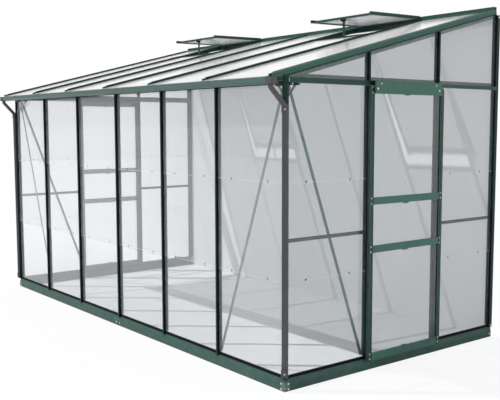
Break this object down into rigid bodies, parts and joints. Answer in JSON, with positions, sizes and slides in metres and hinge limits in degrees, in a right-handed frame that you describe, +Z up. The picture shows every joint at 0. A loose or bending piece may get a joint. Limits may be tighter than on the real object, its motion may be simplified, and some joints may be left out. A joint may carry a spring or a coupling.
{
  "type": "lean-to greenhouse",
  "caption": "Lean-to greenhouse with an aluminium frame, lapped glass, a gutter with downpipes, a sliding door in each end and opening roof vents.",
  "frame": {"origin": "on the ground, halfway along and halfway between the front of the gutter outlets and the wall line", "axes": "+X to the right along the house wall, +Y towards the house wall, +Z up"},
  "size_m": [3.9, 2.0274, 2.2863],
  "materials": {
    "frame_green": "green powder coat, satin",
    "gutter_green": "green powder coat, satin",
    "brace_green": "green powder coat, satin",
    "door_green": "green powder coat, satin",
    "vent_green": "green powder coat, satin",
    "rain_plastic": "dark grey, matte",
    "roller_nylon": "grey, satin",
    "front_glass": "clear, polished",
    "roof_glass": "clear, polished",
    "vent_glass": "clear, polished",
    "end_glass": "clear, polished",
    "door_glass": "clear, polished"
  },
  "bodies": {
    "frame": {"base_front": "frame_green", "base_end_right": "frame_green", "base_end_left": "frame_green", "corner_post_right": "frame_green", "corner_post_left": "frame_green", "gable_rafter_right": "frame_green", "gable_rafter_left": "frame_green", "wall_post_right": "frame_green", "wall_post_left": "frame_green", "jamb_front_right": "frame_green", "jamb_front_left": "frame_green", "jamb_back_right": "frame_green", "jamb_back_left": "frame_green", "door_track_right": "frame_green", "door_track_left": "frame_green", "front_bar_1": "frame_green", "front_bar_2": "frame_green", "front_bar_3": "frame_green", "front_bar_4": "frame_green", "front_bar_5": "frame_green", "wall_plate_and_rafters": "frame_green", "eaves_gutter": "gutter_green", "front_brace_right": "brace_green", "front_brace_left": "brace_green", "end_brace_right": "brace_green", "end_brace_left": "brace_green", "downpipe_right": "rain_plastic", "downpipe_left": "rain_plastic", "front_panes_1": "front_glass", "front_panes_2": "front_glass", "front_panes_3": "front_glass", "front_panes_4": "front_glass", "front_panes_5": "front_glass", "front_panes_6": "front_glass", "roof_pane_1_right": "roof_glass", "roof_pane_1_left": "roof_glass", "roof_pane_2_right": "roof_glass", "roof_pane_2_left": "roof_glass", "roof_pane_3_right": "roof_glass", "roof_pane_3_left": "roof_glass", "corner_panes_right": "end_glass", "corner_panes_left": "end_glass", "wall_panes_right": "end_glass", "wall_panes_left": "end_glass", "over_door_pane_right": "end_glass", "over_door_pane_left": "end_glass"},
    "door_right": {"door_frame_right": "door_green", "door_pane_right": "door_glass"},
    "roller_front_right": {"door_roller_front_right": "roller_nylon"},
    "roller_back_right": {"door_roller_back_right": "roller_nylon"},
    "vent_right": {"vent_frame_right": "vent_green", "vent_pane_right": "vent_glass"},
    "stay_right": {"vent_stay_right": "vent_green"},
    "door_left": {"door_frame_left": "door_green", "door_pane_left": "door_glass"},
    "roller_front_left": {"door_roller_front_left": "roller_nylon"},
    "roller_back_left": {"door_roller_back_left": "roller_nylon"},
    "vent_left": {"vent_frame_left": "vent_green", "vent_pane_left": "vent_glass"},
    "stay_left": {"vent_stay_left": "vent_green"}
  },
  "joints": [
    {"name": "door_slide_right", "type": "slide", "parent": "frame", "child": "door_right", "axis": [0, -1, 0], "range_m": [0, 0.6]},
    {"name": "roller_front_right_spin", "type": "hinge", "parent": "door_right", "child": "roller_front_right", "pos_m": [1.93005, -0.18525, 1.7318], "axis": [1, 0, 0], "continuous": true},
    {"name": "roller_back_right_spin", "type": "hinge", "parent": "door_right", "child": "roller_back_right", "pos_m": [1.93005, 0.33275, 1.7318], "axis": [1, 0, 0], "continuous": true},
    {"name": "vent_hinge_right", "type": "hinge", "parent": "frame", "child": "vent_right", "pos_m": [0.945, 0.97445, 2.26856], "axis": [-1, 0, 0], "range_deg": [-13.5, 24.5]},
    {"name": "stay_hinge_right", "type": "hinge", "parent": "vent_right", "child": "stay_right", "pos_m": [0.945, 0.48567, 2.25087], "axis": [1, 0, 0], "range_deg": [0, 75]},
    {"name": "door_slide_left", "type": "slide", "parent": "frame", "child": "door_left", "axis": [0, -1, 0], "range_m": [0, 0.6]},
    {"name": "roller_front_left_spin", "type": "hinge", "parent": "door_left", "child": "roller_front_left", "pos_m": [-1.93005, -0.18525, 1.7318], "axis": [1, 0, 0], "continuous": true},
    {"name": "roller_back_left_spin", "type": "hinge", "parent": "door_left", "child": "roller_back_left", "pos_m": [-1.93005, 0.33275, 1.7318], "axis": [1, 0, 0], "continuous": true},
    {"name": "vent_hinge_left", "type": "hinge", "parent": "frame", "child": "vent_left", "pos_m": [-0.945, 0.97445, 2.26856], "axis": [-1, 0, 0], "range_deg": [-13.5, 24.5]},
    {"name": "stay_hinge_left", "type": "hinge", "parent": "vent_left", "child": "stay_left", "pos_m": [-0.945, 0.48567, 2.25087], "axis": [1, 0, 0], "range_deg": [0, 75]}
  ],
  "couplings": [
    {"joint": "roller_front_right_spin", "follows": "door_slide_right", "rad_per_m": 125},
    {"joint": "roller_back_right_spin", "follows": "door_slide_right", "rad_per_m": 125},
    {"joint": "roller_front_left_spin", "follows": "door_slide_left", "rad_per_m": 125},
    {"joint": "roller_back_left_spin", "follows": "door_slide_left", "rad_per_m": 125}
  ]
}
